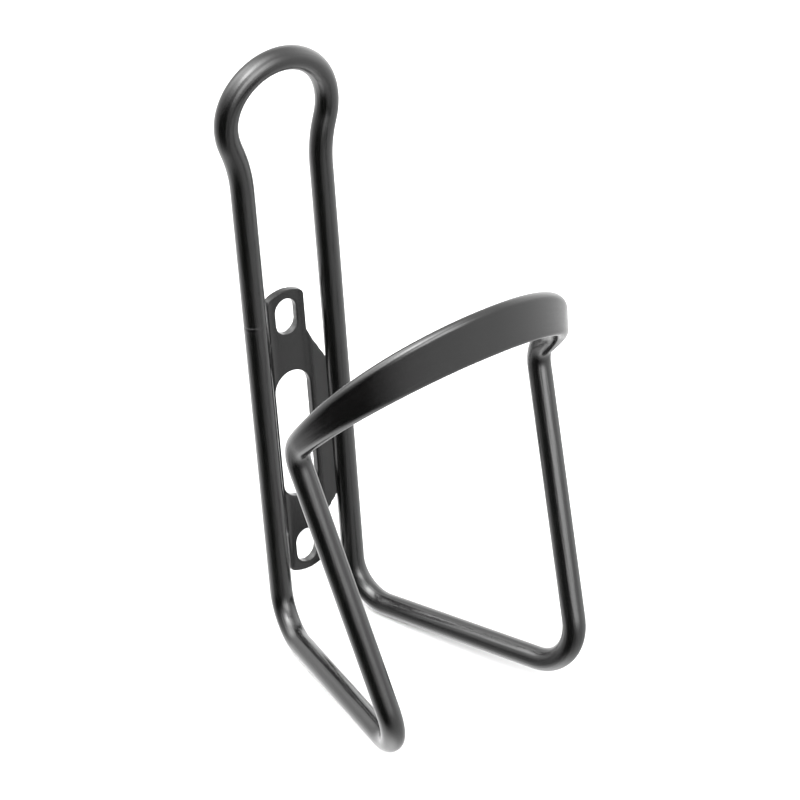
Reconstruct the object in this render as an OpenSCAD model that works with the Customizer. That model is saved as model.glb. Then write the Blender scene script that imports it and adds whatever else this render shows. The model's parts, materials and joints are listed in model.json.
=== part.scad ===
// Water bottle cage for a bicycle frame.
//
// One round rod is bent into a closed loop: up one rear rail, over the keyhole loop, down the other rail,
// forward along a base arm, up an upright, round the front hoop and back the same way on the other side.
// A pressed plate with two bolt slots is welded between the rails.
//
// Origin: centre of the bolt pattern, on the back face of the plate. +Z runs up the rails, +Y points into
// the bicycle tube and -Y towards the bottle. The cage is symmetric about X = 0.

/* [Rod] */
// Diameter of the rod
rod_d = 5.6; // [5:0.1:6.5]
// Width of the hoop where it is pressed flattest
band_w = 11.6; // [8:0.2:13]

/* [Rails and top loop] */
// Distance between the centrelines of the two rails
rail_gauge = 21.8; // [20:0.2:26]
// Distance from the plate's back face to the rails' centrelines
rail_standoff = 5.5; // [5:0.1:7]
// Height of the loop's centreline above the bolt pattern's centre
loop_top = 99; // [85:1:120]
// Bend radius of the loop
loop_r = 13.7; // [13:0.1:18]
// Angle by which the loop's sides flare from the rails
loop_flare = 18.4; // [12:0.2:25]
// Bend radius where the rails flare into the loop
neck_r = 31; // [15:1:35]
// Angle by which the loop's crown leans towards the bottle
loop_lean = 11.7; // [0:0.1:20]

/* [Base and front] */
// Distance of the foot corners below the bolt pattern's centre
foot_drop = 49.5; // [45:0.5:60]
// Bend radius at the foot corners
foot_r = 10; // [8:0.5:14]
// Half the distance between the toe corners
toe_half = 25.6; // [20:0.2:32]
// Distance of the toe corners in front of the rails
toe_reach = 71; // [65:0.5:78]
// Height of the toe corners above the foot corners
toe_rise = 6.8; // [0:0.2:12]
// Bend radius at the toe corners
toe_r = 11.4; // [8:0.1:14]
// Half the distance between the shoulder corners
shoulder_half = 33.6; // [32:0.2:37]
// Distance of the shoulder corners in front of the rails
shoulder_reach = 48.8; // [44:0.2:52]
// Height of the shoulder corners above the foot corners
shoulder_rise = 81.8; // [75:0.2:90]
// Bend radius at the shoulders
shoulder_r = 6.6; // [5:0.1:6.8]
// Distance of the hoop's crown in front of the rails
crown_reach = 74.5; // [72:0.5:80]
// Height of the hoop's crown above the foot corners
crown_rise = 108.2; // [105:0.2:115]
// Distance of the bottle's axis in front of the rails
bottle_reach = 38; // [36:0.5:40]

/* [Mounting plate] */
// Distance between the two bolt slots
bolt_spacing = 64; // [64]
// Width of each bolt slot
slot_w = 5.8; // [5.3:0.1:6.5]
// End-to-end length of each bolt slot
slot_len = 9.2; // [8:0.1:11]
// Thickness of the sheet
plate_t = 2; // [1.5:0.1:2.5]
// Width of the plate's flat panel
panel_w = 10.4; // [10.4:0.1:11]
// Length of the plate from end to end
plate_len = 77.6; // [76:0.2:82]
// Width of the central opening
window_w = 10; // [6:0.1:10]
// End-to-end length of the central opening
window_len = 34.6; // [25:0.2:36]
// Angle between the flanges and the panel
flange_angle = 41; // [35:1:50]
// Length of each flange along the panel's fold
flange_root = 54; // [50:1:56]
// Length of each flange along the rail
flange_tip = 37.2; // [34:0.2:44]

/* [Welds] */
// Length of each weld between a flange and a rail
bead_len = 12; // [8:0.5:14]
// Leg of the weld between a flange and a rail
bead_leg = 1.7; // [1.2:0.1:2]
// Height of the rod's butt weld above the bolt pattern's centre
butt_z = 34; // [28:0.5:45]
// Length of the rod's butt weld
butt_len = 1.6; // [1:0.1:3]

/* [Hidden] */

$fn = 64;
SIDES = 20;         // sides of a swept rod section, a multiple of 4
ARC_STEP = 6;       // most degrees between rings of a swept bend
CORNER_STEPS = 6;   // straight pieces in each rounded corner of the plate
CUT = 20;           // length by which cutting tools run past what they cut
ON_MIDDLE = 0.01;   // points no further than this from X = 0 have no mirror image

rod_r = rod_d / 2;
rail_x = rail_gauge / 2;
rail_y = -rail_standoff;

// Corners of the right half of the rod, where its straight centrelines would meet.
function above_foot(half, reach, rise) = [half, rail_y - reach, rise - foot_drop];
foot = above_foot(rail_x, 0, 0);
toe = above_foot(toe_half, toe_reach, toe_rise);
shoulder = above_foot(shoulder_half, shoulder_reach, shoulder_rise);
crown_corner = above_foot(shoulder_half, crown_reach, crown_rise);
crown = above_foot(0, crown_reach, crown_rise);

loop_corner_x = loop_r * tan((90 + loop_flare) / 2);
loop_corner = [loop_corner_x, rail_y, loop_top];
loop_mid = [0, rail_y, loop_top];
neck = [rail_x, rail_y, loop_top - (loop_corner_x - rail_x) / tan(loop_flare)];

// ---- vectors and lists ----
function unit(v) = v / norm(v);
function across(v, t) = unit(v - (v * t) * t);
function mirrored(p) = [-p.x, p.y, p.z];
function reversed(list) = [for (i = [len(list) - 1:-1:0]) list[i]];
function both_sides(half) = concat(half, [for (p = reversed(half)) if (p.x > ON_MIDDLE) mirrored(p)]);

module mirror_if(left) {
    mirror([left ? 1 : 0, 0, 0])
        children();
}

// ---- bends: the rod comes from corner a, turns at corner p with radius r and leaves to corner b ----
function turn_at(a, p, b) = 180 - acos(unit(a - p) * unit(b - p));
function setback(a, p, b, r) = r * tan(turn_at(a, p, b) / 2);
function bend_start(a, p, b, r) = p + unit(a - p) * setback(a, p, b, r);
function bend_end(a, p, b, r) = bend_start(b, p, a, r);
function bend_centre(a, p, b, r) = p + unit(unit(a - p) + unit(b - p)) * r / cos(turn_at(a, p, b) / 2);
function bend_points(a, p, b, r) =
    let (
        turn = turn_at(a, p, b),
        centre = bend_centre(a, p, b, r),
        out = unit(bend_start(a, p, b, r) - centre),
        ahead = unit(p - a),
        steps = ceil(turn / ARC_STEP)
    )
    [for (k = [0:steps]) centre + r * (cos(turn * k / steps) * out + sin(turn * k / steps) * ahead)];

// Draws a bend of round rod as a true torus segment.
module rod_bend(a, p, b, r) {
    centre = bend_centre(a, p, b, r);
    out = unit(bend_start(a, p, b, r) - centre);
    ahead = unit(p - a);
    axis = cross(out, ahead);
    multmatrix([
        [out.x, ahead.x, axis.x, centre.x],
        [out.y, ahead.y, axis.y, centre.y],
        [out.z, ahead.z, axis.z, centre.z],
        [0, 0, 0, 1]
    ])
        rotate_extrude(angle = turn_at(a, p, b))
            translate([r, 0])
                circle(r = rod_r);
}

module rod_straight(from, to, r = rod_r) {
    run = to - from;
    translate(from)
        rotate([0, acos(run.z / norm(run)), atan2(run.y, run.x)])
            cylinder(r = r, h = norm(run));
}

// ---- swept rod: a round section that can be pressed flat, kept square to its path ----
// Half the thickness of a flat section of half width w that keeps the area of the round rod.
function pressed(w) =
    let (gap = 4 - PI)
    (4 * w - sqrt(16 * w * w - 4 * gap * PI * rod_r * rod_r)) / (2 * gap);

// Points of a section with flat faces and round edges; at w = rod_r it is a circle.
function section(w) =
    let (t = pressed(w))
    [for (k = [0:SIDES - 1])
        let (a = 360 * k / SIDES)
        [sign(cos(a)) * (w - t) + t * cos(a), t * sin(a)]];

function tangent(path, i) = unit(path[min(i + 1, len(path) - 1)] - path[max(i - 1, 0)]);

// Draws rings first to last of a path. facing holds the thickness direction at each ring.
module rod_sweep(path, facing, half_widths, first, last) {
    rings = [for (i = [first:last])
        let (
            t = tangent(path, i),
            thick = across(facing[i], t),
            wide = cross(thick, t)
        )
        for (q = section(half_widths[i])) path[i] + q.x * wide + q.y * thick];
    bands = last - first;
    sides = [for (i = [0:bands - 1], k = [0:SIDES - 1])
        let (
            a = i * SIDES + k,
            b = i * SIDES + (k + 1) % SIDES
        )
        each [[a, b, b + SIDES], [a, b + SIDES, a + SIDES]]];
    start_cap = [for (k = [SIDES - 1:-1:0]) k];
    end_cap = [for (k = [0:SIDES - 1]) bands * SIDES + k];
    polyhedron(points = rings, faces = concat([start_cap], sides, [end_cap]));
}

// ---- top loop ----
// Above the hinge height the crown leans towards the bottle, and it blends into the lean.
hinge_depth = 11;   // distance of the hinge below the loop's top
lean_hinge = loop_top - hinge_depth;
lean_blend = 3;     // the lean sets in over a few times this height
function leaned(p) =
    p - [0, tan(loop_lean) * lean_blend * ln(1 + exp((p.z - lean_hinge) / lean_blend)), 0];
loop_half = concat(
    bend_points(foot, neck, loop_corner, neck_r),
    bend_points(neck, loop_corner, loop_mid, loop_r)
);
loop_path = [for (p = both_sides(loop_half)) leaned(p)];

module top_loop() {
    color([0.16, 0.16, 0.17])
        rod_sweep(loop_path, [for (p = loop_path) [0, 1, 0]], [for (p = loop_path) rod_r],
            0, len(loop_path) - 1);
}

// ---- rails and the butt weld that closes the rod ----
rail_top = bend_start(foot, neck, loop_corner, neck_r);
rail_bottom = bend_start(neck, foot, toe, foot_r);
butt_bottom = [rail_x, rail_y, butt_z];
butt_top = butt_bottom + [0, 0, butt_len];
butt_proud = 0.1;   // height of the dressed weld above the rod

module left_rail_upper() {
    color([0.15, 0.15, 0.16])
        mirror_if(true) rod_straight(butt_top, rail_top);
}

module rod_butt_weld() {
    color([0.22, 0.22, 0.23])
        mirror_if(true) rod_straight(butt_bottom, butt_top, rod_r + butt_proud);
}

module left_rail_lower() {
    color([0.15, 0.15, 0.16])
        mirror_if(true) rod_straight(rail_bottom, butt_bottom);
}

module right_rail() {
    color([0.15, 0.15, 0.16])
        rod_straight(rail_bottom, rail_top);
}

// ---- base: foot bends, arms and toe bends ----
module foot_bend(left) {
    color([0.17, 0.17, 0.18])
        mirror_if(left) rod_bend(neck, foot, toe, foot_r);
}

module base_arm(left) {
    color([0.17, 0.17, 0.18])
        mirror_if(left)
            rod_straight(bend_end(neck, foot, toe, foot_r), bend_start(foot, toe, shoulder, toe_r));
}

module toe_bend(left) {
    color([0.17, 0.17, 0.18])
        mirror_if(left) rod_bend(foot, toe, shoulder, toe_r);
}

// ---- front hoop: the rod pressed gradually flat against the bottle's wall ----
// The pressing starts just below the shoulder bends, where the round uprights end.
press_lead = 2;
crown_bend_share = 0.99;    // share of the room at each crown corner that its bend takes
shoulder_setback = setback(toe, shoulder, crown_corner, shoulder_r);
upright_top = shoulder + (shoulder_setback + press_lead) * unit(toe - shoulder);
crown_bend_room = min(norm(crown_corner - shoulder) - shoulder_setback, crown_corner.x);
hoop_setback = crown_bend_share * crown_bend_room;
hoop_r = hoop_setback / tan(turn_at(shoulder, crown_corner, crown) / 2);
shoulder_path = concat([upright_top], bend_points(toe, shoulder, crown_corner, shoulder_r));
hoop_path = both_sides(concat(shoulder_path, bend_points(shoulder, crown_corner, crown, hoop_r)));
hoop_first = len(shoulder_path) - 1;
hoop_last = len(hoop_path) - 1;

function run_to(path, i) = i == 0 ? 0 : run_to(path, i - 1) + norm(path[i] - path[i - 1]);
hoop_len = run_to(hoop_path, hoop_last);
function ease(u) = u * u * (3 - 2 * u);
// Half the band's width at ring i: round at both ends, widest at the crown.
function band_half(i) =
    rod_r + (band_w / 2 - rod_r) * ease(1 - abs(2 * run_to(hoop_path, i) / hoop_len - 1));
band_halves = [for (i = [0:hoop_last]) band_half(i)];

// The band's flat face looks at the bottle's axis.
bottle_axis = [0, rail_y - bottle_reach];
band_facing = [for (p = hoop_path) [p.x - bottle_axis.x, p.y - bottle_axis.y, 0]];

module upright(left) {
    color([0.17, 0.17, 0.18])
        mirror_if(left)
            rod_straight(bend_end(foot, toe, shoulder, toe_r), upright_top);
}

module shoulder_bend(left) {
    color([0.18, 0.18, 0.19])
        mirror_if(left)
            rod_sweep(hoop_path, band_facing, band_halves, 0, hoop_first);
}

module front_hoop() {
    color([0.19, 0.19, 0.2])
        rod_sweep(hoop_path, band_facing, band_halves, hoop_first, hoop_last - hoop_first);
}

// ---- mounting plate: one cross-section along Z, cut to one outline seen from the front ----
fold_r = 4;         // inner bend radius of the folds
end_r = 10;         // radius of the plate's rounded ends
corner_r = 1.4;     // radius of the corners beside the rounded ends
tip_inset = 2.5;    // distance of the flanges' cut tips from the rails' centrelines, inside the rod
fold_x = panel_w / 2;
tip_x = rail_x - tip_inset;
fold_pivot = [fold_x - fold_r * tan(flange_angle / 2), -plate_t - fold_r];
flange_along = [cos(flange_angle), -sin(flange_angle)];
flange_normal = [sin(flange_angle), cos(flange_angle)];
flange_back = fold_pivot + (fold_r + plate_t) * flange_normal;

// Points of an arc about c from angle a0 to a1.
function arc(c, r, a0, a1) =
    [for (k = [0:CORNER_STEPS])
        let (a = a0 + (a1 - a0) * k / CORNER_STEPS)
        c + r * [cos(a), sin(a)]];
function flipped_x(points) = [for (p = reversed(points)) [-p.x, p.y]];
function flipped_y(points) = [for (p = reversed(points)) [p.x, -p.y]];

// The sheet seen from above: panel, folds and flanges, which run on into the rails.
module cross_section() {
    flange_front_tip = flange_back - plate_t * flange_normal + rail_x * flange_along;
    flange_back_tip = flange_back + rail_x * flange_along;
    right = concat(
        arc(fold_pivot, fold_r, 90, 90 - flange_angle),
        [flange_front_tip, flange_back_tip],
        arc(fold_pivot, fold_r + plate_t, 90 - flange_angle, 90)
    );
    polygon(concat(right, flipped_x(right)));
}

module outline() {
    end_centre = [0, plate_len / 2 - end_r];
    lean = acos((fold_x - corner_r) / (end_r - corner_r));
    corner_centre = end_centre + (end_r - corner_r) * [cos(lean), sin(lean)];
    upper_right = concat(
        arc(end_centre, end_r, 90, lean),
        arc(corner_centre, corner_r, lean, 0),
        [[fold_x, flange_root / 2], [tip_x, flange_tip / 2], [rail_x, flange_tip / 2]]
    );
    right = concat(upper_right, flipped_y(upper_right));
    polygon(concat(right, flipped_x(right)));
}

// Cuts a round-ended opening through the plate.
module opening(height, width, length) {
    straight = length - width;
    translate([0, -CUT / 2, height]) {
        translate([-width / 2, 0, -straight / 2])
            cube([width, CUT, straight]);
        for (side = [-1, 1])
            translate([0, 0, side * straight / 2])
                rotate([-90, 0, 0])
                    cylinder(d = width, h = CUT);
    }
}

module rail_cutter() {
    translate([rail_x, rail_y, -plate_len / 2])
        cylinder(r = rod_r, h = plate_len);
}

module mounting_plate() {
    color([0.2, 0.2, 0.21])
        difference() {
            intersection() {
                translate([0, 0, -plate_len])
                    linear_extrude(2 * plate_len)
                        cross_section();
                translate([0, CUT / 2, 0])
                    rotate([90, 0, 0])
                        linear_extrude(CUT)
                            outline();
            }
            opening(bolt_spacing / 2, slot_w, slot_len);
            opening(-bolt_spacing / 2, slot_w, slot_len);
            opening(0, window_w, window_len);
            rail_cutter();
            mirror_if(true) rail_cutter();
        }
}

// ---- welds: convex fillets between the backs of the flanges and the rails ----
bead_gap = 1.5;     // distance from a bead to the flange's end
bead_height = flange_tip / 2 - bead_len / 2 - bead_gap;

module plate_weld(left, height) {
    to_rail = [rail_x, rail_y] - flange_back;
    off = to_rail * flange_normal;
    seam = flange_back + (to_rail * flange_along - sqrt(rod_r * rod_r - off * off)) * flange_along;
    color([0.22, 0.22, 0.23])
        mirror_if(left)
            translate([0, 0, height])
                difference() {
                    translate([seam.x, seam.y, -bead_len / 2])
                        cylinder(r = bead_leg, h = bead_len);
                    translate([rail_x, rail_y, -bead_len])
                        cylinder(r = rod_r, h = 2 * bead_len);
                    translate([seam.x, seam.y, -bead_len])
                        rotate([0, 0, -flange_angle])
                            translate([-CUT / 2, -CUT, 0])
                                cube([CUT, CUT, 2 * bead_len]);
                }
}

top_loop();
left_rail_upper();
rod_butt_weld();
left_rail_lower();
right_rail();
foot_bend(true);  // left_foot_bend
foot_bend(false);  // right_foot_bend
base_arm(true);  // left_base_arm
base_arm(false);  // right_base_arm
toe_bend(true);  // left_toe_bend
toe_bend(false);  // right_toe_bend
upright(true);  // left_upright
upright(false);  // right_upright
shoulder_bend(true);  // left_shoulder_bend
shoulder_bend(false);  // right_shoulder_bend
front_hoop();
mounting_plate();
plate_weld(true, bead_height);  // upper_left_weld
plate_weld(true, -bead_height);  // lower_left_weld
plate_weld(false, bead_height);  // upper_right_weld
plate_weld(false, -bead_height);  // lower_right_weld
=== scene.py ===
import json
import math
from collections import defaultdict

import bpy
import numpy as np
from mathutils import Matrix, Vector


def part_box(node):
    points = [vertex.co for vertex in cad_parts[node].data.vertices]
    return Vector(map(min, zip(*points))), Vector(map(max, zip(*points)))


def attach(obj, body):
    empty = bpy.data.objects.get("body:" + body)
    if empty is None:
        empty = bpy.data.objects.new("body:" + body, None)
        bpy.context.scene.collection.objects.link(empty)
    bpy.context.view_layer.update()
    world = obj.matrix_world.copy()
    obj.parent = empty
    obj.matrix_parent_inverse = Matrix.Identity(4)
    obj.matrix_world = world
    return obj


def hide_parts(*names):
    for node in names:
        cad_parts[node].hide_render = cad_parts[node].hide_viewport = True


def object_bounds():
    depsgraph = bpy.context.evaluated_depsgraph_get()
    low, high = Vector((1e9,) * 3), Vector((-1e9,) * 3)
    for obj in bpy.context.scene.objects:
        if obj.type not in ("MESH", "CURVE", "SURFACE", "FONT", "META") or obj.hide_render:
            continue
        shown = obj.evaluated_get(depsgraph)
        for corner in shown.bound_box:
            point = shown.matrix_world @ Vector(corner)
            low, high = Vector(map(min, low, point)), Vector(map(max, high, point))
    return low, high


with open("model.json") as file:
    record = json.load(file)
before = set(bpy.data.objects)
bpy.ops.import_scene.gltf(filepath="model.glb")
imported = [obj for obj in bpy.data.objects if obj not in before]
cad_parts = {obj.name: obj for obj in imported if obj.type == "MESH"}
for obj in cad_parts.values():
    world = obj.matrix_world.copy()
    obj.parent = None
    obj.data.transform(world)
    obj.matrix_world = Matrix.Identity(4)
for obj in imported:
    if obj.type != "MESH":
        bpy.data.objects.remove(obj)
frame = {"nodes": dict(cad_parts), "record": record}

cad_box = [list(corner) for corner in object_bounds()]
MM = 0.001
MICRON = 0.001 * MM


# ---- driving values ----
# Rod mesh
BEND_STEPS = 12
STRAIGHT_STEP = 1.5 * MM
RING_STEP = 0.9 * MM
SIDES = 56
LOOP_END_REACH = 0.9 * MM  # the loop's points below this height over the rail's end are its first section

# Butt weld: how deep its rims sink into the rod, how far its middle stands out, and rings in its mesh
BUTT_SUNK = 0.02 * MM
BUTT_PROUD = 0.03 * MM
BUTT_ROWS = 17
# Unevenness round it: number of waves, start of the wave in radians, height against BUTT_PROUD
BUTT_WAVES = ((3, 1, 0.35), (8, 0, 0.25))

# Fillet beads
BEAD_SIDES = 40
BEAD_STEP = 0.1 * MM
BEAD_FADE = 1.6 * MM    # length over which a bead's ends round off
BEAD_END = 0.15         # size of a bead's very end against its middle
RIPPLE_PITCH = 1.25 * MM
RIPPLE_DEPTH = 0.1
RIPPLE_BOW = 0.7        # how far each ripple bows into a crescent, in pitches
RIPPLE_LEAN = 0.5       # how far each ripple's steep side leans, in radians of its wave
PULSE_PITCH = 4.7 * MM  # the hand's slow swelling and thinning along a bead
PULSE_DEPTH = 0.08

# Plate mesh
PLATE_GRID = 0.22 * MM
SMOOTHING_ROUNDS = 8
SMOOTHING_SHARE = 0.5   # share of the way to its neighbours' middle that a point moves in each round
TIP_TOUCH = 0.05 * MM   # how near a rail's surface a corner of the plate counts as touching it
TIP_SUNK = 0.4 * MM     # how far the corners that touch a rail reach into it

# Noises: scale in waves per metre, and detail
CLOUDS = (90, 4)
SMEARS = (260, 5)
GRAIN = (2600, 6)
SLOT_PATCHES = (900, 3)
FLOOR_CLOUDS = (3, 2)
NOISE_RANGE = (0.3, 0.7)  # middle range of a noise's values

# Drawing lines of the rod: scale in waves per rod radius round it, and detail
DRAWN_LINES = (6, 3)
DRAWN_SHARE = 2.5       # their height against the grain's
DRAWN_LENGTH = 60 * MM  # their run for one unit of their stored coordinates

# Coat: how far the clouds change its grey, as a share, and the smears its roughness
CLOUD_DEPTH = 0.3
SMEAR_RANGE = (-0.03, 0.04)

# Wear and painted light: how much paler the coat gets. The flanges get painted light, the slot walls get
# painted light in worn patches, and the edges get wear
SLOT_PAINTED_LIGHT_AND_WEAR = 0.09
FLANGE_PAINTED_LIGHT = 0.03
PLATE_EDGE_WEAR = 0.008
BEAD_EDGE_WEAR = 0.01
FOLD_END = 5.4 * MM     # distance from X = 0 where the plate's fold turns into its flange
FLANGE_LIGHT_BLEND = 0.8 * MM   # width over which the flange's painted light sets in
SLOT_BLEND = 0.3 * MM   # width over which the slots' painted light and wear fade out
SLOT_PATCHINESS = (0.4, 1)   # least and greatest share of the slots' painted light and wear in its patches
EDGE_CREST = (0.53, 0.62)    # pointiness at which an edge's wear sets in, and is full
WALL_FACING = (0.7, 0.4)     # how far a surface faces front or back where a wall's painted light and wear set in, and are full

# Soft lights: azimuth in degrees from the front towards +X, elevation in degrees, sharpness, strength
SOFT_LIGHTS = {
    "key_above_left": (-57, 63, 8, 5.0),
    "key_core": (-50, 53, 40, 4.0),
    "fill_front": (0, 16, 19, 4.0),
    "front_lamp": (-22, 8, 48, 2.1),
    "rim_back_left": (-148, 46, 14, 3.0),
    "back_right": (125, 8, 8.5, 1.4),
    "side_right": (83, 13, 6.2, 1.1),
    "backdrop_low": (-169, -27, 7.4, 1.07),
    "floor_bounce": (-106, -77, 7.3, 1.75),
    "backdrop_right": (155, -27, 20, 0.8),
    "dark_side": (-70, -23, 3.2, -1.0),
}
ROOM_LIGHT = 0.7        # even light from all round
DARKEST = 0.02          # least light from any direction

# Floor, which reaches this many metres from the middle to each side
FLOOR_REACH = 3.0
FLOOR_TONES = (0.93, 0.95)
FLOOR_ROUGHNESS = 0.9

# Camera, with its lens and sensor in millimetres and its clip distances in metres
CAMERA_PLACE = (-296.94 * MM, -478.96 * MM, 328.04 * MM)
CAMERA_AZIMUTH = math.radians(-34.49)
CAMERA_ELEVATION = math.radians(29.74)
CAMERA_ROLL = math.radians(-3.906)
CAMERA_LENS = 121.06
CAMERA_CLIP = (0.01, 20)
SENSOR_WIDTH = 36

BACK = np.array([0.0, 1.0, 0.0])
OUT = np.array([1.0, 0.0, 0.0])
X_COLUMNS = [0, 3]      # of a path row: the X of its centre and the X of its facing


# ---- reading the rod's path from the frame ----
def vertex_keys(node):
    """Each vertex of a CAD node as whole micrometres, so that doubled vertices are one."""
    return [tuple(round(c / MICRON) for c in v.co) for v in frame["nodes"][node].data.vertices]


def rod_ends(node):
    """Centres of a straight round node's two ends, the higher one last."""
    points = np.array(sorted(set(vertex_keys(node)))) * MICRON
    middle = points.mean(axis=0)
    ahead = np.linalg.svd(points - middle)[2][0]
    ahead *= 1 if ahead[2] > 0 else -1
    reach = (points - middle) @ ahead
    return middle + ahead * reach.min(), middle + ahead * reach.max()


def swept_rings(node, first):
    """Sections of a swept node as arrays of points, in order from the one whose vertices are first."""
    keys = vertex_keys(node)
    neighbours = defaultdict(set)
    for face in frame["nodes"][node].data.polygons:
        corners = {keys[i] for i in face.vertices}
        for corner in corners:
            neighbours[corner] |= corners
    seen = set()
    rings = []
    ring = set(first)
    while ring:
        seen |= ring
        rings.append(np.array(sorted(ring)) * MICRON)
        ring = set().union(*(neighbours[key] for key in ring)) - seen
    return rings


def unit(v):
    return v / np.linalg.norm(v)


def bend_centres(before, start, end, steps):
    """Points inside the circular bend that leaves the line before->start at start and passes through end."""
    ahead = unit(start - before)
    chord = end - start
    aside = unit(chord - (chord @ ahead) * ahead)
    turn = 2 * math.atan2(chord @ aside, chord @ ahead)
    radius = np.linalg.norm(chord) / 2 / math.sin(turn / 2)
    angles = np.linspace(0, turn, steps + 1)[1:-1]
    return [start + radius * (math.sin(a) * ahead + (1 - math.cos(a)) * aside) for a in angles]


seat = next(m for m in frame["record"]["mounts"] if m["name"] == "bottle_seat")
bottle_axis = np.array([seat["pos_m"][0], seat["pos_m"][1], 0])
rail_low, rail_high = rod_ends("right_rail")
arm_back, arm_front = rod_ends("right_base_arm")
upright_low, upright_high = rod_ends("right_upright")
rail_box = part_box("right_rail")
rod_r = (rail_box[1][0] - rail_box[0][0]) / 2


def path_row(centre, facing, half_width=rod_r, half_thick=rod_r):
    """One section of the rod as eight numbers: its centre (0 to 2), the direction that its flat side faces
    (3 to 5), its half width (6) and its half thickness (7)."""
    return np.concatenate([centre, facing, [half_width, half_thick]])


def straight_rows(start, end, facing_start, facing_end):
    """Path rows on a straight stretch of round rod, both ends included."""
    steps = round(np.linalg.norm(end - start) / STRAIGHT_STEP)
    mix = np.linspace(0, 1, steps + 1)
    return [path_row(start + u * (end - start), (1 - u) * facing_start + u * facing_end) for u in mix]


def away_from_bottle(p):
    return unit(np.array([p[0], p[1], 0]) - bottle_axis)


def pressed_row(ring):
    """Path row of a pressed section, measured on its points."""
    centre = ring.mean(axis=0)
    facing = away_from_bottle(centre)
    off_centre = ring - centre
    half_thick = np.abs(off_centre @ facing).max()
    half_width = np.linalg.norm(off_centre, axis=1).max()
    return path_row(centre, facing, half_width, half_thick)


def right_half_path():
    """Path rows from the hoop's crown down the right side and up to the loop's crown."""
    first = set(vertex_keys("right_shoulder_bend")) & set(vertex_keys("front_hoop"))
    hoop = [pressed_row(ring) for ring in swept_rings("front_hoop", first)]
    hoop = [row for row in hoop if row[0] > 0]
    shoulder = [pressed_row(ring) for ring in swept_rings("right_shoulder_bend", first)]
    loop_keys = set(vertex_keys("top_loop"))
    end_height = (rail_high[2] + LOOP_END_REACH) / MICRON
    loop_first = {key for key in loop_keys if key[2] < end_height and key[0] > 0}
    loop = [path_row(ring.mean(axis=0), BACK) for ring in swept_rings("top_loop", loop_first)]
    loop = [row for row in loop if row[0] > -MICRON]
    rows = hoop[::-1] + shoulder[1:-1]
    rows += straight_rows(upright_high, upright_low, shoulder[-1][3:6], OUT)
    rows += [path_row(p, OUT) for p in bend_centres(upright_high, upright_low, arm_front, BEND_STEPS)]
    rows += straight_rows(arm_front, arm_back, OUT, OUT)
    rows += [path_row(p, OUT) for p in bend_centres(arm_front, arm_back, rail_low, BEND_STEPS)]
    rows += straight_rows(rail_low, rail_high, OUT, BACK)
    return np.array(rows + loop[1:])


def closed_path():
    """Path rows all round the rod: the right half, then its mirror image back to the hoop's crown."""
    right = right_half_path()
    left = right[::-1].copy()
    left[:, X_COLUMNS] *= -1
    crown = right[:1].copy()
    crown[0, X_COLUMNS] = 0
    return np.vstack([crown, right, left[1:], crown])


def resampled(rows, step):
    """Rows evenly spaced along the smooth curve through the given rows."""
    gaps = np.linalg.norm(np.diff(rows[:, :3], axis=0), axis=1)
    run = np.concatenate([[0], np.cumsum(gaps)])
    slope = np.gradient(rows, run, axis=0)
    slope[0] = slope[-1] = (slope[0] + slope[-1]) / 2
    at = np.linspace(0, run[-1], round(run[-1] / step) + 1)[:-1]
    i = np.clip(np.searchsorted(run, at, side="right") - 1, 0, len(run) - 2)
    span = (run[i + 1] - run[i])[:, None]
    u = (at - run[i])[:, None] / span
    start = (1 + 2 * u) * (1 - u) ** 2 * rows[i] + u * (1 - u) ** 2 * span * slope[i]
    end = u * u * (3 - 2 * u) * rows[i + 1] + u * u * (u - 1) * span * slope[i + 1]
    return start + end


def stadium(half_width, half_thick, sides):
    """Evenly spaced points round a section with two flat faces and two round edges."""
    half_width = max(half_width, half_thick)
    flat = 2 * (half_width - half_thick)
    edge = math.pi * half_thick
    along = (np.arange(sides) / sides * 2 * (flat + edge) + edge / 2) % (2 * (flat + edge))
    side = np.where(along < flat + edge, 1, -1)
    along = along % (flat + edge)
    angle = np.minimum(along / half_thick, math.pi) - math.pi / 2
    across = flat / 2 + half_thick * np.cos(angle) - np.maximum(along - edge, 0)
    return side * across, side * half_thick * np.sin(angle)


def rod_points(rows):
    points = []
    tangents = np.roll(rows[:, :3], -1, axis=0) - np.roll(rows[:, :3], 1, axis=0)
    for row, tangent in zip(rows, tangents):
        ahead = unit(tangent)
        facing = row[3:6]
        thick = unit(facing - (facing @ ahead) * ahead)
        wide = np.cross(thick, ahead)
        across, through = stadium(row[6], row[7], SIDES)
        points.append(row[:3] + across[:, None] * wide + through[:, None] * thick)
    return np.array(points)


def grid_faces(rings, sides):
    """Faces of a tube that is closed both round and along."""
    faces = []
    for i in range(rings):
        for k in range(sides):
            j, m = (i + 1) % rings, (k + 1) % sides
            faces.append((i * sides + k, i * sides + m, j * sides + m, j * sides + k))
    return faces


def add_piece(name, points, faces, material, replaced):
    """A smooth mesh that rides on the cage and stands for the CAD nodes in replaced."""
    mesh = bpy.data.meshes.new(name)
    mesh.from_pydata([tuple(p) for p in points], [], faces)
    mesh.polygons.foreach_set("use_smooth", [True] * len(faces))
    mesh.materials.append(material)
    piece = bpy.data.objects.new(name, mesh)
    bpy.context.collection.objects.link(piece)
    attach(piece, "root")
    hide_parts(*replaced)
    return piece


# ---- materials ----
def new_material(name):
    material = bpy.data.materials.new(name)
    material.use_nodes = True
    tree = material.node_tree
    return material, tree, tree.nodes["Principled BSDF"]


def noise(tree, kind, source):
    """A noise of the given (scale, detail) over the given coordinates."""
    scale, detail = kind
    node = tree.nodes.new("ShaderNodeTexNoise")
    node.inputs["Scale"].default_value = scale
    node.inputs["Detail"].default_value = detail
    tree.links.new(source, node.inputs["Vector"])
    return node.outputs["Fac"]


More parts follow.
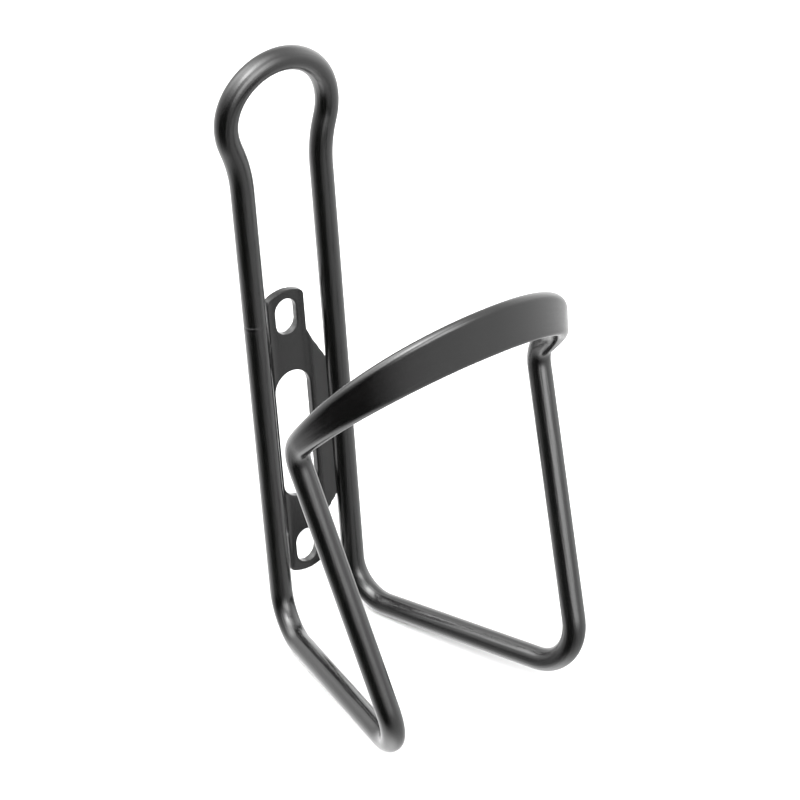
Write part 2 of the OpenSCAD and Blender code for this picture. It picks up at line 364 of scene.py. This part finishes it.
def math_node(tree, operation, *values):
    """A Math node; each value is a number or an output to link. Returns its output."""
    node = tree.nodes.new("ShaderNodeMath")
    node.operation = operation
    for socket, value in zip(node.inputs, values):
        if isinstance(value, bpy.types.NodeSocket):
            tree.links.new(value, socket)
        else:
            socket.default_value = value
    return node.outputs["Value"]


def ramp(tree, value, from_low, from_high, to_low, to_high):
    """A value mapped from one range to another, and kept inside the second."""
    node = tree.nodes.new("ShaderNodeMapRange")
    node.inputs["From Min"].default_value = from_low
    node.inputs["From Max"].default_value = from_high
    node.inputs["To Min"].default_value = to_low
    node.inputs["To Max"].default_value = to_high
    tree.links.new(value, node.inputs["Value"])
    return node.outputs["Result"]


def spread(tree, value, low, high):
    """Maps a noise's middle range to low..high."""
    return ramp(tree, value, *NOISE_RANGE, low, high)


def object_place(tree):
    return tree.nodes.new("ShaderNodeTexCoord").outputs["Object"]


def set_grey(tree, shader, tone):
    """Links one value to all three channels of the base colour."""
    tint = tree.nodes.new("ShaderNodeCombineColor")
    for channel in ("Red", "Green", "Blue"):
        tree.links.new(tone, tint.inputs[channel])
    tree.links.new(tint.outputs["Color"], shader.inputs["Base Color"])


def stored_place(tree, attribute):
    """Coordinates that the mesh stores at its points."""
    node = tree.nodes.new("ShaderNodeAttribute")
    node.attribute_name = attribute
    return node.outputs["Vector"]


def edge_wear(tree, amount):
    """0 on flats and hollows, rising to amount on the crests of edges."""
    geometry = tree.nodes.new("ShaderNodeNewGeometry")
    return ramp(tree, geometry.outputs["Pointiness"], *EDGE_CREST, 0, amount)


def absolute_parts(tree, vector):
    """Absolute X, Y and Z of a vector."""
    node = tree.nodes.new("ShaderNodeSeparateXYZ")
    tree.links.new(vector, node.inputs["Vector"])
    return [math_node(tree, "ABSOLUTE", node.outputs[axis]) for axis in ("X", "Y", "Z")]


def slot_painted_light_and_wear(tree, x, z):
    """Painted light and worn patches on the walls of the bolt slots, at absolute coordinates x and z."""
    off_slot = math_node(tree, "ABSOLUTE", math_node(tree, "SUBTRACT", z, SLOT_HEIGHT))
    off_centre = math_node(tree, "MAXIMUM", x, off_slot)
    near_slot = ramp(tree, off_centre, SLOT_REACH + SLOT_BLEND, SLOT_REACH, 0, 1)
    _, facing_y, _ = absolute_parts(tree, tree.nodes.new("ShaderNodeTexCoord").outputs["Normal"])
    # The slot walls are painted paler: painted light for their lit walls, broken into worn patches.
    wall = ramp(tree, facing_y, *WALL_FACING, 0, SLOT_PAINTED_LIGHT_AND_WEAR)
    patches = spread(tree, noise(tree, SLOT_PATCHES, object_place(tree)), *SLOT_PATCHINESS)
    return math_node(tree, "MULTIPLY", math_node(tree, "MULTIPLY", near_slot, wall), patches)


def plate_wear_and_painted_light(tree):
    """Painted light on the plate's flanges, painted light and worn patches on the walls of its bolt slots,
    and worn edges.
    """
    x, _, z = absolute_parts(tree, object_place(tree))
    # The flanges are painted paler: painted light for the light that falls on them.
    flange = ramp(tree, x, FOLD_END, FOLD_END + FLANGE_LIGHT_BLEND, 0, FLANGE_PAINTED_LIGHT)
    places = math_node(tree, "ADD", flange, slot_painted_light_and_wear(tree, x, z))
    return math_node(tree, "ADD", places, edge_wear(tree, PLATE_EDGE_WEAR))


def bead_wear(tree):
    return edge_wear(tree, BEAD_EDGE_WEAR)


def add_grain(tree, shader, height, micrometres):
    bump = tree.nodes.new("ShaderNodeBump")
    bump.inputs["Strength"].default_value = 1
    bump.inputs["Distance"].default_value = micrometres * MICRON
    tree.links.new(height, bump.inputs["Height"])
    tree.links.new(bump.outputs["Normal"], shader.inputs["Normal"])


def satin_black(name, grey, gloss, ior, grain, wear_and_painted_light=None, drawn=None):
    """Satin black coat of the given grey. gloss is its roughness and grain the height of its fine texture in
    micrometres. wear makes a value to add to the grey, for worn places and painted light, and drawn names
    the stored coordinates that the rod's drawing lines follow."""
    material, tree, shader = new_material(name)
    place = object_place(tree)
    clouds = noise(tree, CLOUDS, place)
    tone = spread(tree, clouds, grey * (1 - CLOUD_DEPTH), grey * (1 + CLOUD_DEPTH))
    if wear_and_painted_light:
        tone = math_node(tree, "ADD", tone, wear_and_painted_light(tree))
    set_grey(tree, shader, tone)
    smears = spread(tree, noise(tree, SMEARS, place), *(gloss + change for change in SMEAR_RANGE))
    tree.links.new(smears, shader.inputs["Roughness"])
    height = spread(tree, noise(tree, GRAIN, place), 0, 1)
    if drawn:
        lines = noise(tree, DRAWN_LINES, stored_place(tree, drawn))
        height = math_node(tree, "ADD", height, spread(tree, lines, 0, DRAWN_SHARE))
    add_grain(tree, shader, height, grain)
    shader.inputs["IOR"].default_value = ior
    return material


bolts = next(m for m in frame["record"]["mounts"] if m["name"] == "frame_bolts")
SLOT_HEIGHT = bolts["dims"]["spacing_y_mm"] / 2 * MM
SLOT_REACH = bolts["dims"]["slot_length_mm"] / 2 * MM

rod_finish = satin_black("rod_finish", grey=0.0018, gloss=0.17, ior=1.9, grain=9, drawn="drawn")
plate_finish = satin_black("plate_finish", grey=0.006, gloss=0.2, ior=1.65, grain=8, wear_and_painted_light=plate_wear_and_painted_light)
weld_finish = satin_black("weld_finish", grey=0.003, gloss=0.3, ior=1.9, grain=7, wear_and_painted_light=bead_wear)


# ---- the rod ----
WELD_NODES = [name for name in frame["nodes"] if name.endswith("weld")]
BEAD_NODES = [name for name in WELD_NODES if name != "rod_butt_weld"]
ROD_NODES = [name for name in frame["nodes"] if name not in WELD_NODES + ["mounting_plate"]]
butt_low, butt_high = (np.array(corner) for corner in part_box("rod_butt_weld"))
butt_middle = (butt_low + butt_high) / 2


def start_at(rows, place):
    """The same closed path, starting at the row nearest to place."""
    first = np.linalg.norm(rows[:, :3] - place, axis=1).argmin()
    return np.roll(rows, -first, axis=0)


def angles_round(sides):
    return np.arange(sides) / sides * 2 * math.pi


def store_drawn(piece, rings):
    """Stores coordinates that vary fast round the rod and slowly along it, for the drawing lines."""
    around = angles_round(SIDES)
    ring = np.stack([np.cos(around), np.sin(around), np.zeros(SIDES)], axis=1)
    along = np.arange(rings) * RING_STEP / DRAWN_LENGTH
    values = ring[None, :, :] + along[:, None, None] * np.array([0, 0, 1])
    store = piece.data.attributes.new("drawn", "FLOAT_VECTOR", "POINT")
    store.data.foreach_set("vector", values.ravel())


def add_rod():
    """The whole rod as one closed tube, whose first and last rings meet under the butt weld."""
    rows = start_at(resampled(closed_path(), RING_STEP), butt_middle)
    points = rod_points(rows).reshape(-1, 3)
    rod = add_piece("rod", points, grid_faces(len(rows), SIDES), rod_finish, ROD_NODES)
    store_drawn(rod, len(rows))


# ---- the butt weld that closes the rod ----
def open_tube_faces(rings, sides):
    """Faces of a tube that is closed round but not along, with a cap on each end."""
    faces = [f for f in grid_faces(rings, sides) if max(f) - min(f) < 2 * sides]
    return faces + [tuple(range(sides))[::-1], tuple(range((rings - 1) * sides, rings * sides))]


def add_butt_weld():
    """A low ring round the left rail that rises out of the rod's surface and sinks back into it."""
    around = angles_round(SIDES)
    uneven = 1 + sum(height * np.sin(waves * around + start) for waves, start, height in BUTT_WAVES)
    points = []
    for u in np.linspace(0, 1, BUTT_ROWS):
        radius = rod_r - BUTT_SUNK + (BUTT_SUNK + BUTT_PROUD * uneven) * math.sin(math.pi * u)
        x = butt_middle[0] + radius * np.cos(around)
        y = butt_middle[1] + radius * np.sin(around)
        z = butt_low[2] + u * (butt_high[2] - butt_low[2])
        points.append(np.stack([x, y, np.full(SIDES, z)], axis=1))
    faces = open_tube_faces(BUTT_ROWS, SIDES)
    add_piece("rod_butt_weld_ring", np.concatenate(points), faces, rod_finish, ["rod_butt_weld"])


# ---- the fillet welds behind the plate ----
def profile_of(node):
    """The node's section at its lower end, as points in order round it."""
    keys = np.array(sorted(set(vertex_keys(node))))
    points = keys[keys[:, 2] == keys[:, 2].min()] * MICRON
    middle = points.mean(axis=0)
    turn = np.arctan2(points[:, 1] - middle[1], points[:, 0] - middle[0])
    return points[np.argsort(turn)]


def evenly(points, count):
    """count points evenly spaced round a closed outline."""
    closed = np.vstack([points, points[:1]])
    run = np.concatenate([[0], np.cumsum(np.linalg.norm(np.diff(closed, axis=0), axis=1))])
    at = np.arange(count) / count * run[-1]
    return np.stack([np.interp(at, run, closed[:, axis]) for axis in range(3)], axis=1)


def seam_of(section):
    """The corner where plate and rod meet: the point equally far from all of the fillet's arc."""
    gaps = np.linalg.norm(section[:, None] - section[None], axis=2)
    far_half = np.sort(gaps, axis=1)[:, len(section) // 2:]
    return section[far_half.std(axis=1).argmin()]


def ripple_phase(ring, seam, rail):
    """How far along the bead each point's ripples shift, in pitches, so that they bow into crescents."""
    reach = np.linalg.norm(ring - seam, axis=1).max()
    off_rod = (np.linalg.norm(ring - rail, axis=1) - rod_r) / reach
    return RIPPLE_BOW * (2 * off_rod - 1) ** 2


def bead_size(z, length, phase, pulse_start):
    """Size of the bead's section at height z against the CAD fillet's."""
    turn = 2 * math.pi * (z / RIPPLE_PITCH + phase)
    hollow = 0.5 - 0.5 * np.cos(turn + RIPPLE_LEAN * np.sin(turn))
    pulse = 0.5 - 0.5 * math.sin(2 * math.pi * (z / PULSE_PITCH + pulse_start))
    end_gap = min(z, length - z) / BEAD_FADE
    fade = math.sqrt(max(1 - (1 - min(end_gap, 1)) ** 2, BEAD_END ** 2))
    return fade * (1 - RIPPLE_DEPTH * hollow - PULSE_DEPTH * pulse)


def add_bead(node):
    """A rippled bead that keeps inside the CAD fillet and fades out at both ends."""
    low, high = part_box(node)
    length = high[2] - low[2]
    section = profile_of(node)
    seam = seam_of(section)
    ring = evenly(section, BEAD_SIDES)
    rail = np.array([math.copysign(rail_low[0], section[0][0]), rail_low[1], low[2]])
    phase = ripple_phase(ring, seam, rail)
    pulse_start = section[0][0] / length
    points = []
    steps = round(length / BEAD_STEP)
    for z in np.linspace(0, length, steps + 1):
        size = bead_size(z, length, phase, pulse_start)
        points.append(seam + size[:, None] * (ring - seam) + np.array([0, 0, z]))
    faces = open_tube_faces(len(points), BEAD_SIDES)
    add_piece(node + "_bead", np.concatenate(points), faces, weld_finish, [node])


# ---- the mounting plate ----
def sunk_tip(corner):
    """A corner of the CAD plate, moved into the rail if it touches it, so that smoothing opens no gap."""
    inward = Vector((math.copysign(rail_low[0], corner.x), rail_low[1], corner.z)) - corner
    touching = abs(inward.length - rod_r) < TIP_TOUCH
    return corner + inward.normalized() * TIP_SUNK if touching else corner


def add_plate():
    """The CAD plate's shape with an even mesh, whose smoothing gives it the round edges of pressed sheet."""
    cad = frame["nodes"]["mounting_plate"].data
    points = [sunk_tip(v.co) for v in cad.vertices]
    faces = [tuple(f.vertices) for f in cad.polygons]
    plate = add_piece("pressed_plate", points, faces, plate_finish, ["mounting_plate"])
    even_mesh = plate.modifiers.new("even mesh", "REMESH")
    even_mesh.mode = "VOXEL"
    even_mesh.voxel_size = PLATE_GRID
    even_mesh.use_smooth_shade = True
    rounded_edges = plate.modifiers.new("rounded edges", "SMOOTH")
    rounded_edges.factor = SMOOTHING_SHARE
    rounded_edges.iterations = SMOOTHING_ROUNDS


# ---- floor, light and camera ----
def add_floor():
    z = cad_box[0][2]
    corners = ((-1, -1), (1, -1), (1, 1), (-1, 1))
    mesh = bpy.data.meshes.new("floor")
    mesh.from_pydata([(x * FLOOR_REACH, y * FLOOR_REACH, z) for x, y in corners], [], [(0, 1, 2, 3)])
    material, tree, shader = new_material("pale_floor")
    set_grey(tree, shader, spread(tree, noise(tree, FLOOR_CLOUDS, object_place(tree)), *FLOOR_TONES))
    shader.inputs["Roughness"].default_value = FLOOR_ROUGHNESS
    mesh.materials.append(material)
    floor = bpy.data.objects.new("floor", mesh)
    floor.visible_glossy = False
    bpy.context.collection.objects.link(floor)


def direction(azimuth, elevation):
    a, e = math.radians(azimuth), math.radians(elevation)
    return math.sin(a) * math.cos(e), -math.cos(a) * math.cos(e), math.sin(e)


def add_studio_light():
    """World light made of soft round lights that fade smoothly with the angle from their middles. The camera
    itself sees a world that is at least white."""
    world = bpy.data.worlds.new("studio")
    world.use_nodes = True
    tree = world.node_tree
    background = tree.nodes["Background"]
    background.inputs["Color"].default_value = (1, 1, 1, 1)
    looking = tree.nodes.new("ShaderNodeTexCoord").outputs["Generated"]
    total = ROOM_LIGHT
    for azimuth, elevation, sharpness, strength in SOFT_LIGHTS.values():
        towards = tree.nodes.new("ShaderNodeVectorMath")
        towards.operation = "DOT_PRODUCT"
        towards.inputs[1].default_value = direction(azimuth, elevation)
        tree.links.new(looking, towards.inputs[0])
        fade = math_node(tree, "MULTIPLY_ADD", towards.outputs["Value"], sharpness, -sharpness)
        glow = math_node(tree, "EXPONENT", fade)
        total = math_node(tree, "MULTIPLY_ADD", glow, strength, total)
    lit = math_node(tree, "MAXIMUM", total, DARKEST)
    seen = tree.nodes.new("ShaderNodeLightPath").outputs["Is Camera Ray"]
    tree.links.new(math_node(tree, "MAXIMUM", lit, seen), background.inputs["Strength"])
    bpy.context.scene.world = world


def add_camera():
    data = bpy.data.cameras.new("camera")
    data.sensor_width = SENSOR_WIDTH
    data.lens = CAMERA_LENS
    data.clip_start, data.clip_end = CAMERA_CLIP
    camera = bpy.data.objects.new("camera", data)
    turn = Matrix.Rotation(CAMERA_AZIMUTH, 4, "Z")
    tilt = Matrix.Rotation(math.pi / 2 - CAMERA_ELEVATION, 4, "X")
    roll = Matrix.Rotation(CAMERA_ROLL, 4, "Z")
    camera.matrix_world = Matrix.Translation(CAMERA_PLACE) @ turn @ tilt @ roll
    bpy.context.collection.objects.link(camera)
    bpy.context.scene.camera = camera


add_rod()
add_butt_weld()
for bead_node in BEAD_NODES:
    add_bead(bead_node)
add_plate()
add_floor()
add_studio_light()
add_camera()
bpy.context.scene.view_settings.view_transform = "Standard"
